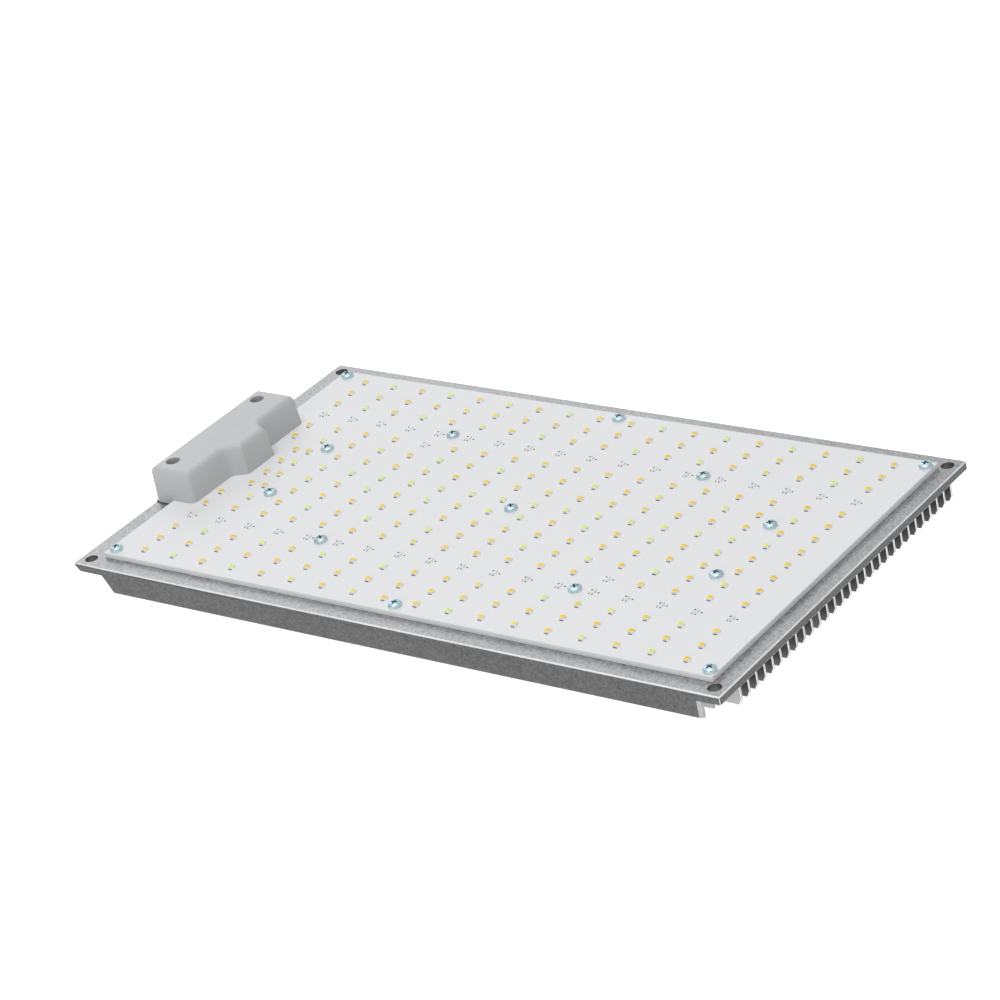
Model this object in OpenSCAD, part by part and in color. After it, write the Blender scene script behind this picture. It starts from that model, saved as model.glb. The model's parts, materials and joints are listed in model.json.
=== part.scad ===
// LED grow light: a finned aluminium plate with a white LED board on its upper face,
// a moulded wire cover on its left edge and a metal-cased driver with a dimmer knob underneath.
// It stands on the driver, LEDs up. X runs along the long side, Y along the short side, Z up.
// The origin is the centre of the footprint, on the surface that the driver stands on.

/* [Heatsink] */
// Length of the plate along X
plate_x = 300; // [298:0.5:304]
// Depth of the plate along Y
plate_y = 169; // [168:0.5:171]
// Thickness of the plate
plate_t = 3.3; // [2.8:0.1:4]
// Height of the fins below the plate
fin_h = 7.2; // [6.5:0.1:9]
// Thickness of each inner fin
fin_t = 1; // [0.9:0.1:1.2]
// Distance between fin centres
fin_pitch = 5.16; // [5.14:0.01:5.18]
// Thickness of the fin along each long edge
edge_fin_t = 1.7; // [1.4:0.1:2]
// Radius of the corner hanging holes
hang_hole_r = 2.6; // [2.4:0.05:2.7]
// Distance between hanging holes along X
hang_x = 290; // [289:0.5:290]
// Distance between hanging holes along Y
hang_y = 159; // [158.5:0.5:160]

/* [LED board] */
// Length of the board along X
board_x = 282.6; // [281:0.2:283]
// Depth of the board along Y
board_y = 154; // [153:0.5:154.5]
// Shift of the board away from the wire cover
board_shift_x = 1.4; // [1:0.1:1.6]
// Thickness of the board
board_t = 1.5; // [1.2:0.1:1.8]
// Thickness of the thermal pad
pad_t = 0.8; // [0.5:0.1:1]
// Distance between LED columns
led_pitch_x = 14.85; // [14.8:0.05:15]
// Distance between LED rows
led_pitch_y = 9.37; // [9.3:0.01:9.4]
// Shift of the LEDs and the board screws away from the wire cover
led_shift_x = 1.8; // [0:0.1:2]
// Height of an LED package
led_h = 0.7; // [0.5:0.1:0.9]

/* [Wire cover] */
// Width of the cover across the plate's edge
cover_x = 21.2; // [21:0.1:21.5]
// Length of the cover along the edge
cover_y = 70.5; // [68:0.5:73]
// Height of the cover above the plate
cover_h = 15; // [14.5:0.1:18]
// Reach of the bump over the terminals
bump_x = 6.2; // [5:0.1:6.4]
// Wall of the cover
cover_wall = 2; // [1.6:0.1:2.2]
// Distance between the cover screws
cover_screw_span = 53; // [52:0.5:54]

/* [Driver] */
// Length of the aluminium case
case_x = 142; // [140:1:142]
// Width of the case
case_y = 63; // [63:0.5:66]
// Height of the case
case_h = 35; // [35:0.5:38]
// Wall of the case
case_wall = 2.5; // [2.2:0.1:2.5]
// Bore of the mains gland
mains_bore_r = 3.5; // [3:0.1:3.7]
// Radius of the dimmer knob
knob_r = 7.5; // [6.5:0.1:8.5]
// Length of the dimmer knob
knob_len = 11; // [9:0.5:13]

/* [Hidden] */
$fn = 48;
eps = 0.01;

// Heights of the stack, from the driver's underside up
bracket_t = 2;
z_bracket = case_h;
z_fin = z_bracket + bracket_t;
z_plate = z_fin + fin_h;
z_top = z_plate + plate_t;
z_board = z_top + pad_t + board_t;

// Fins
fin_count_side = 14;
corner_fin_y = (fin_count_side + 1) * fin_pitch;
fin_left = 146;
fin_tip_x = 1.2;
fin_tip_z = 2.2;
corner_left_top = 136.4;
corner_left_foot = 132;
corner_right = 141.6;
fin_chamfer = [1.6, 0.5];

// LED grid
led_cols = 18;
led_rows = 16;
led_w = 2.8;
led_l = 2.4;
led_side_step = 8.1;

// Screws: M3 and M4 shanks, their holes and their pan heads
m3_r = 1.45;
m3_hole_r = 1.5;
m3_clear_r = 1.7;
m3_head_r = 2.65;
m3_head_h = 1.9;
m3_floor = 0.4;
m4_r = 1.95;
m4_hole_r = 2;
m4_clear_r = 2.15;
m4_head_r = 3.7;
m4_head_h = 2.5;
nut_r = 3.1;
nut_h = 4;
board_screw_pattern = concat([[0, 0]],
    [for (sx = [-1, 1], sy = [-1, 1]) [sx * 138, sy * 73.4]],
    [for (sy = [-1, 1]) [0, sy * 73]],
    [for (sx = [-1, 1], sy = [-1, 1]) [sx * 59.6, sy * 42.6]],
    [for (sx = [-1, 1], sy = [-1, 1]) [sx * 104.8, sy * 18.2]]);
board_screw_xy = [for (p = board_screw_pattern) p + [led_shift_x, -0.3]];

// Wire cover and what it holds
cover_left = -plate_x / 2;
cover_screw_x = cover_left + 6.3;
cover_draft = 1;
cover_round = 1.6;
bump_foot_y = 14.7;
bump_nose_y = 8.5;
gasket_t = 0.5;
cover_seat_z = z_top + 4;
board_left = board_shift_x - board_x / 2;
terminal_x = -131;
terminal_size = [9, 11, 9.5];
pole_y = 2.5;
entry_z = z_board + 3.7;
cable_r = 3;
lead_r = 0.9;
cable_x = -137.5;
cable_y = 3.5 * fin_pitch;
cable_z = 17;
cable_bend_r = 25;
cable_end_z = z_top + 2.5;
cable_hole_r = 4;

// Driver layout
gasket_w = 1;
cap_t = 8;
flange_x = 10;
flange_t = 2.5;
cap_in = case_x / 2 + gasket_w;
cap_out = cap_in + cap_t;
bracket_x = cap_out + flange_x / 2;
bracket_w = 20;
bracket_y = 124;
bracket_screw_y = 10.5 * fin_pitch;
driver_screw_y = 3.5 * fin_pitch;
port_in = 4;
port_top = case_h - 7;
gland_r = 6;
mains_gland_y = -14;
pot_y = 15;
pcb_z = 8;
pcb_t = 1.6;
pcb_top = pcb_z + pcb_t;

// LED kinds by column i and row j; columns are read from the nearer end, so they mirror
function led_side(i) = min(i, led_cols - 1 - i);
function led_clear(i, j) = j == 3 || j == 12 || (j == 4 && i == 13) || (j == 11 && i == 4);
function led_alternate(j) = j == 0 || j == 2 || j == 5 || j == 10 || j == 13 || j == 15;
function led_cool(i, j) = !led_clear(i, j) && (
    (led_alternate(j) && led_side(i) % 2 == 1)
    || (j == 7 && led_side(i) > 0 && led_side(i) % 2 == 0)
    || (j == 8 && led_side(i) > 0));
function led_warm(i, j) = !led_clear(i, j) && !led_cool(i, j);
function led_x(i, j) = led_shift_x + (i - (led_cols - 1) / 2) * led_pitch_x
    + ((i == 0 && j >= 6 && j <= 9) ? led_side_step : 0);
function led_y(j) = (j - (led_rows - 1) / 2) * led_pitch_y;

// Points on a smooth curve through a route, and rings of a tube along it
function spline_point(p, k, t) =
    let (a = p[max(k - 1, 0)], b = p[k], c = p[k + 1], d = p[min(k + 2, len(p) - 1)])
    0.5 * (2 * b + (c - a) * t + (2 * a - 5 * b + 4 * c - d) * t * t
        + (3 * b - 3 * c + d - a) * t * t * t);
function spline(p, n) = concat([for (k = [0 : len(p) - 2], s = [0 : n - 1]) spline_point(p, k, s / n)],
    [p[len(p) - 1]]);
function unit(v) = v / norm(v);
function ring(c, dir, up, r, sides) =
    let (u = unit(cross(up, dir)), v = cross(dir, u))
    [for (s = [0 : sides - 1]) c + r * (u * cos(360 * s / sides) + v * sin(360 * s / sides))];

// A tube of radius r swept along the points p; up is a direction the route never follows
module tube(p, r, up, sides = 8) {
    last = len(p) - 1;
    rings = [for (k = [0 : last])
        ring(p[k], unit(p[min(k + 1, last)] - p[max(k - 1, 0)]), up, r, sides)];
    points = [for (q = rings, v = q) v];
    walls = [for (k = [0 : last - 1], s = [0 : sides - 1])
        [k * sides + s, k * sides + (s + 1) % sides,
            (k + 1) * sides + (s + 1) % sides, (k + 1) * sides + s]];
    ends = [[for (s = [sides - 1 : -1 : 0]) s], [for (s = [0 : sides - 1]) last * sides + s]];
    polyhedron(points = points, faces = concat(walls, ends));
}

// A block given by its lowest and highest corners
module block(low, high) {
    translate(low)
        cube(high - low);
}

// A slab whose outline lies in XZ, thickness t, centred on y
module slab(outline, y, t) {
    translate([0, y + t / 2, 0])
        rotate([90, 0, 0])
            linear_extrude(t)
                polygon(outline);
}

// A cylinder along X from x1 to x2
module rod_x(x1, x2, y, z, r) {
    translate([x1, y, z])
        rotate([0, 90, 0])
            cylinder(h = x2 - x1, r = r);
}

// A straight wire between two points
module wire(a, b, r) {
    d = b - a;
    translate(a)
        rotate([0, acos(d.z / norm(d)), atan2(d.y, d.x)])
            cylinder(h = norm(d), r = r);
}

// Pan-head screw pointing down, the underside of its head at z = 0, with a cross recess
module pan_screw(head_r, head_h, shank_r, length) {
    difference() {
        union() {
            rotate_extrude()
                polygon(concat([[0, 0], [head_r, 0], [head_r, head_h * 0.4]],
                    [for (a = [20 : 20 : 80]) [head_r * cos(a), head_h * (0.4 + 0.6 * sin(a))]],
                    [[0, head_h]]));
            translate([0, 0, -length])
                cylinder(h = length + eps, r = shank_r);
        }
        for (a = [0, 90])
            rotate([0, 0, a])
                translate([-head_r * 0.5, -head_r * 0.11, head_h * 0.45])
                    cube([head_r, head_r * 0.22, head_h]);
    }
}

// --- Heatsink and LED board ---

// Section of the plate: its left edge is bevelled underneath
module plate_body() {
    left = -plate_x / 2;
    slab([[left, z_top], [left, z_top - 0.3], [left + 1.6, z_top - plate_t + 0.7],
        [left + 2.8, z_plate], [plate_x / 2, z_plate], [plate_x / 2, z_top]], 0, plate_y);
}

// Full-length fins run to the right edge and have a chamfered toe at each end
module full_fin(y) {
    slab([[-fin_left, z_plate + 1], [-fin_left, z_fin + fin_tip_z], [-fin_left + fin_tip_x, z_fin],
        [plate_x / 2 - fin_tip_x, z_fin], [plate_x / 2, z_fin + fin_tip_z],
        [plate_x / 2, z_plate + 1]], y, fin_t);
}

// The two outer fins on each side stop short of the corner holes
module corner_fin(y, t) {
    slab([[-corner_left_top, z_plate + 1], [-corner_left_top, z_plate], [-corner_left_foot, z_fin],
        [corner_right, z_fin], [corner_right, z_plate + 1]], y, t);
}

// The fin along each long edge has a chamfered outer corner at its right end
module edge_fin(s) {
    edge = plate_y / 2;
    inner = edge - fin_chamfer.y;
    start = corner_right - fin_chamfer.x;
    difference() {
        corner_fin(s * (edge - edge_fin_t / 2), edge_fin_t);
        translate([0, 0, z_fin - 1])
            linear_extrude(fin_h + 3)
                polygon([[start, s * edge], [corner_right, s * inner], [corner_right + 1, s * inner],
                    [corner_right + 1, s * (edge + 1)], [start, s * (edge + 1)]]);
    }
}

module heatsink() {
    color("silver")
        difference() {
            union() {
                plate_body();
                for (k = [-fin_count_side : fin_count_side])
                    full_fin(k * fin_pitch);
                for (s = [-1, 1]) {
                    corner_fin(s * corner_fin_y, fin_t);
                    edge_fin(s);
                }
            }
            for (sx = [-1, 1], sy = [-1, 1]) {
                translate([sx * hang_x / 2, sy * hang_y / 2, z_plate - 1])
                    cylinder(h = plate_t + 2, r = hang_hole_r);
                translate([sx * bracket_x, sy * bracket_screw_y, z_plate - 1])
                    cylinder(h = plate_t + 2, r = m4_hole_r);
                translate([sx * bracket_x, sy * driver_screw_y, z_fin - 1])
                    cylinder(h = nut_h + 1.5, r = nut_r + 0.5);
            }
            for (p = board_screw_xy)
                translate([p.x, p.y, z_plate + m3_floor])
                    cylinder(h = plate_t, r = m3_hole_r);
            for (s = [-1, 1])
                translate([cover_screw_x, s * cover_screw_span / 2, z_plate + m3_floor])
                    cylinder(h = plate_t, r = m3_hole_r);
            translate([cable_x, cable_y, z_plate - 1])
                cylinder(h = plate_t + 2, r = cable_hole_r);
            translate([cable_x, cable_y, z_fin - 1])
                cylinder(h = fin_h + 1, r = 6.5);
        }
}

// Outline of the board with its screw holes and the notch round the cable
module board_outline(hole_r, notch_r) {
    difference() {
        translate([board_left, -board_y / 2])
            square([board_x, board_y]);
        for (p = board_screw_xy)
            translate(p)
                circle(r = hole_r);
        translate([cable_x, cable_y])
            circle(r = notch_r);
        translate([board_left - 1, cable_y - notch_r])
            square([cable_x - board_left + 1, 2 * notch_r]);
    }
}

module thermal_pad() {
    color("gainsboro")
        translate([0, 0, z_top])
            linear_extrude(pad_t)
                board_outline(2.5, 6.5);
}

module led_board() {
    color("white")
        translate([0, 0, z_top + pad_t])
            linear_extrude(board_t)
                board_outline(m3_clear_r, 6);
}

module led(i, j) {
    translate([led_x(i, j), led_y(j), z_board + led_h / 2])
        cube([led_w, led_l, led_h], center = true);
}

module warm_leds() {
    color("gold")
        for (i = [0 : led_cols - 1], j = [0 : led_rows - 1])
            if (led_warm(i, j))
                led(i, j);
}

module cool_leds() {
    color("khaki")
        for (i = [0 : led_cols - 1], j = [0 : led_rows - 1])
            if (led_cool(i, j))
                led(i, j);
}

module clear_leds() {
    color("lightgray")
        for (i = [0 : led_cols - 1], j = [0 : led_rows - 1])
            if (led_clear(i, j))
                led(i, j);
}

module board_screws() {
    color("lightsteelblue")
        for (p = board_screw_xy)
            translate([p.x, p.y, z_board])
                pan_screw(m3_head_r, m3_head_h, m3_r, z_board - z_plate - m3_floor - 0.3);
}

// --- Wire cover and terminals ---

// Housing with a side entry, a clamp chamber and a screw well for each pole
module terminal_block() {
    low = [terminal_x - terminal_size.x / 2, -terminal_size.y / 2, z_board];
    color("honeydew")
        difference() {
            block(low, low + terminal_size);
            for (s = [-1, 1]) {
                block([low.x - 1, s * pole_y - 1.9, entry_z - 2.1],
                    [terminal_x + 2, s * pole_y + 1.9, entry_z + 2.1]);
                translate([terminal_x, s * pole_y, entry_z])
                    cylinder(h = terminal_size.z, r = 1.7);
            }
        }
}

module terminal_clamps() {
    color("silver")
        for (s = [-1, 1])
            difference() {
                block([terminal_x - 1.9, s * pole_y - 1.8, entry_z - 2],
                    [terminal_x + 1.9, s * pole_y + 1.8, entry_z + 2]);
                rod_x(terminal_x - 3, terminal_x + 3, s * pole_y, entry_z, 1.1);
            }
}

module terminal_screws() {
    color("gray")
        for (s = [-1, 1])
            translate([terminal_x, s * pole_y, entry_z + 2])
                difference() {
                    cylinder(h = 2.6, r = 1.6);
                    translate([-2, -0.25, 1.8])
                        cube([4, 0.5, 2]);
                }
}

// One layer of the cover's long body at height z, drawn in by inset, and by left on its outer side
module body_layer(z, inset, left, corner) {
    low = [cover_left + left, -cover_y / 2 + inset];
    high = [cover_left + cover_x - inset, cover_y / 2 - inset];
    for (x = [low.x + corner, high.x - corner], y = [low.y + corner, high.y - corner])
        translate([x, y, z])
            cylinder(h = eps, r = corner, $fn = 32);
}

// One layer of the bump at height z, drawn in by inset
module bump_layer(z, inset) {
    nose = cover_left + cover_x + bump_x - inset;
    translate([0, 0, z])
        linear_extrude(eps)
            polygon([[nose - bump_x - 6, -bump_foot_y + inset], [nose, -bump_nose_y + inset],
                [nose, bump_nose_y - inset], [nose - bump_x - 6, bump_foot_y - inset]]);
}

// Solid form of the cover: two drafted hulls, drawn in by shell for the hollow
module cover_form(foot_z, bump_z, shell) {
    top = z_top + cover_h - shell;
    mid = cover_round * 0.3;
    corner = shell > 0 ? 1 : 3;
    hull() {
        body_layer(foot_z, shell, shell, corner);
        body_layer(top - cover_round, shell + cover_draft, shell, corner);
        body_layer(top - mid, shell + cover_draft + mid, shell + mid, corner);
        body_layer(top - eps, shell + cover_draft + cover_round, shell + cover_round, corner);
    }
    hull() {
        bump_layer(bump_z, shell);
        bump_layer(top - cover_round, shell + cover_draft);
        bump_layer(top - mid, shell + cover_draft + mid);
        bump_layer(top - eps, shell + cover_draft + cover_round);
    }
}

module wire_cover() {
    color("lightgray")
        difference() {
            union() {
                difference() {
                    cover_form(z_top + gasket_t, z_board, 0);
                    cover_form(z_top - 1, z_board - 1, cover_wall);
                }
                for (s = [-1, 1])
                    translate([cover_screw_x, s * cover_screw_span / 2, z_top + gasket_t])
                        cylinder(h = cover_h - gasket_t - cover_round, r = 4.6);
            }
            block([board_left - 0.3, -cover_y, z_top - 1], [0, cover_y, z_board]);
            for (s = [-1, 1])
                translate([cover_screw_x, s * cover_screw_span / 2, z_top]) {
                    cylinder(h = cover_h, r = m3_clear_r);
                    translate([0, 0, cover_seat_z - z_top])
                        cylinder(h = cover_h, r = 3.1);
                }
        }
}

module cover_gasket() {
    color("dimgray")
        difference() {
            block([cover_left + 0.4, -cover_y / 2 + 0.4, z_top],
                [board_left - 0.4, cover_y / 2 - 0.4, z_top + gasket_t]);
            for (s = [-1, 1])
                translate([cover_screw_x, s * cover_screw_span / 2, z_top - 1])
                    cylinder(h = 3, r = m3_clear_r);
            translate([cable_x, cable_y, z_top - 1])
                cylinder(h = 3, r = 6);
        }
}

module cover_screws() {
    color("silver")
        for (s = [-1, 1])
            translate([cover_screw_x, s * cover_screw_span / 2, cover_seat_z])
                pan_screw(2.75, m3_head_h, m3_r, cover_seat_z - z_plate - m3_floor - 0.3);
}

// Rubber ring with a groove that holds the plate
module cable_grommet() {
    color("black")
        translate([cable_x, cable_y, 0])
            rotate_extrude()
                polygon([[cable_r + 0.05, z_plate - 1.5], [5.5, z_plate - 1.5], [5.5, z_plate - 0.05],
                    [cable_hole_r - 0.05, z_plate - 0.05], [cable_hole_r - 0.05, z_top + 0.05],
                    [5.5, z_top + 0.05], [5.5, z_top + 1.5], [cable_r + 0.05, z_top + 1.5]]);
}

// Sheathed cable: out of the driver, round a quarter bend and up through the plate
module output_cable() {
    color("black") {
        rod_x(cable_x + cable_bend_r - eps, -cap_in + 1, cable_y, cable_z, cable_r);
        translate([cable_x + cable_bend_r, cable_y, cable_z + cable_bend_r])
            rotate([90, 0, 0])
                rotate([0, 0, 180])
                    rotate_extrude(angle = 90)
                        translate([cable_bend_r, 0])
                            circle(r = cable_r);
        translate([cable_x, cable_y, cable_z + cable_bend_r - eps])
            cylinder(h = cable_end_z - cable_z - cable_bend_r + eps, r = cable_r);
    }
}

// Routes of the two cores from the end of the sheath to the terminals
lead_z = cable_end_z + 0.1;
positive_route = [[-138.8, cable_y, lead_z], [-138.8, cable_y, lead_z + 1], [-138.8, 17.7, 53.2],
    [-138.6, 14.6, 55.6], [-139.8, 10, 55.8], [-140.6, 6.2, 54.6], [-139, 3.1, 53.6],
    [-136, 2.5, entry_z], [-131, 2.5, entry_z]];
negative_route = [[-136.2, cable_y, lead_z], [-136.2, cable_y, lead_z + 1], [-136.6, 17.1, 52],
    [-139, 14.2, 52.4], [-143, 9, 52.2], [-144, 3, 52.4], [-142, -1.4, 53], [-138, -2.5, entry_z],
    [-131, -2.5, entry_z]];

module positive_lead() {
    color("red")
        tube(spline(positive_route, 4), lead_r, unit([1, 0.15, 0.6]));
}

module negative_lead() {
    color("black")
        tube(spline(negative_route, 4), lead_r, unit([1, 0.15, 0.6]));
}

// --- Driver ---

// Corner screw ports, where the end caps are fixed
function port_yz() = [for (sy = [-1, 1], z = [port_in, port_top]) [sy * (case_y / 2 - port_in), z]];

module driver_case() {
    color("darkgray")
        difference() {
            union() {
                difference() {
                    block([-case_x / 2, -case_y / 2, 0], [case_x / 2, case_y / 2, case_h]);
                    block([-case_x, -case_y / 2 + case_wall, case_wall],
                        [case_x, case_y / 2 - case_wall, case_h - case_wall]);
                }
                for (p = port_yz())
                    rod_x(-case_x / 2, case_x / 2, p.x, p.y, 3);
                for (s = [-1, 1], z = [pcb_z - 1.1, pcb_top + 0.05])
                    translate([-case_x / 2, s * (case_y / 2 - case_wall - 0.5) - 1.5, z])
                        cube([case_x, 3, 1.05]);
            }
            for (p = port_yz())
                rod_x(-case_x, case_x, p.x, p.y, m3_hole_r);
        }
}

// End cap with its mounting flange, drilled for the screws and for what passes through it
module end_cap(side, hole_y, hole_r) {
    mirror([side < 0 ? 1 : 0, 0, 0])
        difference() {
            union() {
                block([cap_in, -case_y / 2, 0], [cap_out, case_y / 2, case_h]);
                block([cap_in, -case_y / 2, case_h - flange_t],
                    [cap_out + flange_x, case_y / 2, case_h]);
            }
            for (p = port_yz())
                rod_x(cap_in - 1, cap_out + 1, p.x, p.y, m3_clear_r);
            for (s = [-1, 1])
                translate([bracket_x, s * driver_screw_y, case_h - flange_t - 1])
                    cylinder(h = flange_t + 2, r = m4_clear_r);
            rod_x(cap_in - 1, cap_out + 1, hole_y, cable_z, hole_r);
        }
}

module output_end_cap() {
    color("dimgray")
        end_cap(-1, cable_y, gland_r + 0.05);
}

module mains_end_cap() {
    color("dimgray")
        difference() {
            end_cap(1, mains_gland_y, gland_r + 0.05);
            rod_x(cap_in - 1, cap_out + 1, pot_y, cable_z, 3.55);
        }
}

module cap_gasket(side) {
    color("black")
        mirror([side < 0 ? 1 : 0, 0, 0])
            difference() {
                block([case_x / 2, -case_y / 2 + 0.3, 0.3], [cap_in, case_y / 2 - 0.3, case_h - 0.3]);
                block([0, -case_y / 2 + 8, 8], [case_x, case_y / 2 - 8, case_h - 8]);
                for (p = port_yz())
                    rod_x(0, case_x, p.x, p.y, m3_clear_r);
                rod_x(0, case_x, cable_y, cable_z, gland_r + 0.3);
                rod_x(0, case_x, mains_gland_y, cable_z, gland_r + 0.3);
                rod_x(0, case_x, pot_y, cable_z, 6.5);
            }
}

module output_cap_gasket() {
    cap_gasket(-1);
}

module mains_cap_gasket() {
    cap_gasket(1);
}

module end_cap_screws() {
    color("silver")
        for (side = [0, 1], p = port_yz())
            mirror([side, 0, 0])
                translate([cap_out, p.x, p.y])
                    rotate([0, 90, 0])
                        pan_screw(2.75, m3_head_h, m3_r, 16);
}

// Straps across the fins that carry the driver
module driver_brackets() {
    color("silver")
        for (side = [-1, 1])
            difference() {
                block([side * bracket_x - bracket_w / 2, -bracket_y / 2, z_bracket],
                    [side * bracket_x + bracket_w / 2, bracket_y / 2, z_fin]);
                for (s = [-1, 1]) {
                    translate([side * bracket_x, s * bracket_screw_y, z_bracket - 1])
                        cylinder(h = bracket_t + 2, r = m4_clear_r);
                    translate([side * bracket_x, s * driver_screw_y, z_bracket - 1])
                        cylinder(h = bracket_t + 2, r = m4_clear_r);
                }
            }
}

// Screws that come up through the straps into the plate
module bracket_screws() {
    color("silver")
        for (sx = [-1, 1], sy = [-1, 1])
            translate([sx * bracket_x, sy * bracket_screw_y, z_bracket])
                mirror([0, 0, 1])
                    pan_screw(m4_head_r, m4_head_h, m4_r, z_top - z_bracket - 0.3);
}

// Round press nuts that stand in pockets cut into the fins
module bracket_nuts() {
    color("silver")
        for (sx = [-1, 1], sy = [-1, 1])
            translate([sx * bracket_x, sy * driver_screw_y, z_fin])
                difference() {
                    cylinder(h = nut_h, r = nut_r);
                    translate([0, 0, -1])
                        cylinder(h = nut_h + 2, r = m4_hole_r);
                }
}

module driver_screws() {
    color("silver")
        for (sx = [-1, 1], sy = [-1, 1])
            translate([sx * bracket_x, sy * driver_screw_y, case_h - flange_t])
                mirror([0, 0, 1])
                    pan_screw(m4_head_r, m4_head_h, m4_r, flange_t + bracket_t + 3.5);
}

// --- Inside the driver ---

module driver_circuit_board() {
    color("darkgreen")
        block([-66, -case_y / 2 + case_wall + 0.8, pcb_z], [60, case_y / 2 - case_wall - 0.8, pcb_top]);
}

module insulating_sheet() {
    color("beige")
        block([-68, -23, case_wall], [68, 23, case_wall + 0.4]);
}

// Ferrite core with two windows
module transformer_core() {
    color("dimgray")
        difference() {
            block([-16, -7, pcb_top], [16, 7, pcb_top + 20]);
            for (s = [-1, 1])
                block([s * 7.75 - 3.25, -8, pcb_top + 4], [s * 7.75 + 3.25, 8, pcb_top + 16]);
        }
}

// Copper winding round the middle leg
module transformer_winding() {
    color("orange")
        difference() {
            block([-10.8, -13, pcb_top + 4.2], [10.8, 13, pcb_top + 15.8]);
            block([-4.6, -7.1, pcb_top], [4.6, 7.1, pcb_top + 20]);
        }
}

module electrolytic_capacitors() {
    color("midnightblue") {
        translate([38, -14, pcb_top])
            cylinder(h = 21, r = 8);
        for (y = [-14, 2])
            translate([-38, y, pcb_top])
                cylinder(h = 20, r = 6);
    }
}

// Toroidal choke lying on the board
module mains_choke() {
    color("goldenrod")
        translate([52, 1, pcb_top + 3.5])
            rotate_extrude()
                translate([5.5, 0])
                    circle(r = 3.5);
}

module film_capacitor() {
    color("khaki")
        block([26, 6, pcb_top], [41, 14, pcb_top + 14]);
}

module fuse() {
    color("white")
        rod_x(24, 44, 18.5, pcb_top + 2.6, 2.6);
}

module power_transistors() {
    color("black")
        for (x = [-16, 8])
            block([x, 21.4, pcb_top], [x + 10, 25.9, pcb_top + 14]);
}

// Aluminium bar that passes the transistors' heat to the case
module heat_spreader() {
    color("silver")
        block([-30, 25.9, pcb_top + 1.2], [30, case_y / 2 - case_wall, pcb_top + 15]);
}

// --- Glands, leads and dimmer ---

// Gland body: threaded tail through the cap, hexagon collar and a threaded nose
module gland_body(y, bore) {
    difference() {
        union() {
            rod_x(cap_in, cap_out + 12, y, cable_z, gland_r - 0.5);
            rod_x(cap_in, cap_out, y, cable_z, gland_r);
            translate([cap_out, y, cable_z])
                rotate([0, 90, 0])
                    cylinder(h = 4, r = 8, $fn = 6);
        }
        rod_x(cap_in - 1, cap_out + 13, y, cable_z, bore);
    }
}

// Dome nut over the gland's nose
module gland_nut(y, bore) {
    translate([cap_out + 4.1, y, cable_z])
        rotate([0, 90, 0])
            rotate_extrude()
                polygon([[gland_r - 0.45, 0], [7.6, 0], [7.6, 6], [6.8, 9.5], [bore + 1.4, 11.4],
                    [bore + 0.1, 11.4], [bore + 0.1, 8.2], [gland_r - 0.45, 8.2]]);
}

module output_gland() {
    color("black")
        mirror([1, 0, 0])
            gland_body(cable_y, cable_r + 0.05);
}

module output_gland_nut() {
    color("black")
        mirror([1, 0, 0])
            gland_nut(cable_y, cable_r);
}

module mains_gland() {
    color("black")
        gland_body(mains_gland_y, mains_bore_r);
}

module mains_gland_nut() {
    color("black")
        gland_nut(mains_gland_y, mains_bore_r);
}

// Two-pole block on the circuit board, where the mains cord's cores are screwed down
module mains_terminal() {
    low = [50, mains_gland_y - 6, pcb_top];
    color("forestgreen")
        difference() {
            block(low, low + [9, 11, 9]);
            for (s = [-1, 1])
                rod_x(low.x + 3, low.x + 10, mains_gland_y - 0.5 + s * 2.5, pcb_top + 3.5, 1.3);
        }
}

module output_leads() {
    color("red")
        for (s = [-1, 1])
            wire([-cap_in + 1.55, cable_y + s * 1.4, cable_z],
                [-60, cable_y + s * 2.5, pcb_top + 1], 1);
}

module dimmer_leads() {
    color("green")
        for (s = [-1, 0, 1])
            wire([61.5, pot_y + s * 2.5, cable_z - 4], [57, pot_y + s * 2.5, pcb_top + 0.8], 0.6);
}

// Rotary control: can behind the cap, threaded bushing through it
module dimmer_potentiometer() {
    color("darkseagreen")
        difference() {
            union() {
                rod_x(62, cap_in - 0.1, pot_y, cable_z, 6);
                rod_x(62, cap_out + 4, pot_y, cable_z, 3.5);
            }
            rod_x(64, cap_out + 5, pot_y, cable_z, 3.05);
        }
}

module dimmer_nut() {
    color("silver")
        translate([cap_out, pot_y, cable_z])
            rotate([0, 90, 0])
                difference() {
                    cylinder(h = 2.2, r = 5.5, $fn = 6);
                    translate([0, 0, -1])
                        cylinder(h = 5, r = 3.55);
                }
}

module dimmer_shaft() {
    color("silver")
        rod_x(65, cap_out + 4.6 + knob_len - 2, pot_y, cable_z, 3);
}

// Fluted knob with a pointer rib on its face
module dimmer_knob() {
    color("black")
        translate([cap_out + 4.6, pot_y, cable_z])
            rotate([0, 90, 0])
                difference() {
                    union() {
                        cylinder(h = knob_len, r = knob_r);
                        translate([-knob_r + 0.6, -0.5, knob_len - eps])
                            cube([knob_r - 1.6, 1, 0.6]);
                    }
                    translate([0, 0, -1])
                        cylinder(h = knob_len - 1, r = 3);
                    for (a = [0 : 20 : 340])
                        rotate([0, 0, a + 10])
                            translate([knob_r + 0.5, 0, 2])
                                cylinder(h = knob_len, r = 0.9, $fn = 24);
                }
}

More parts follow.
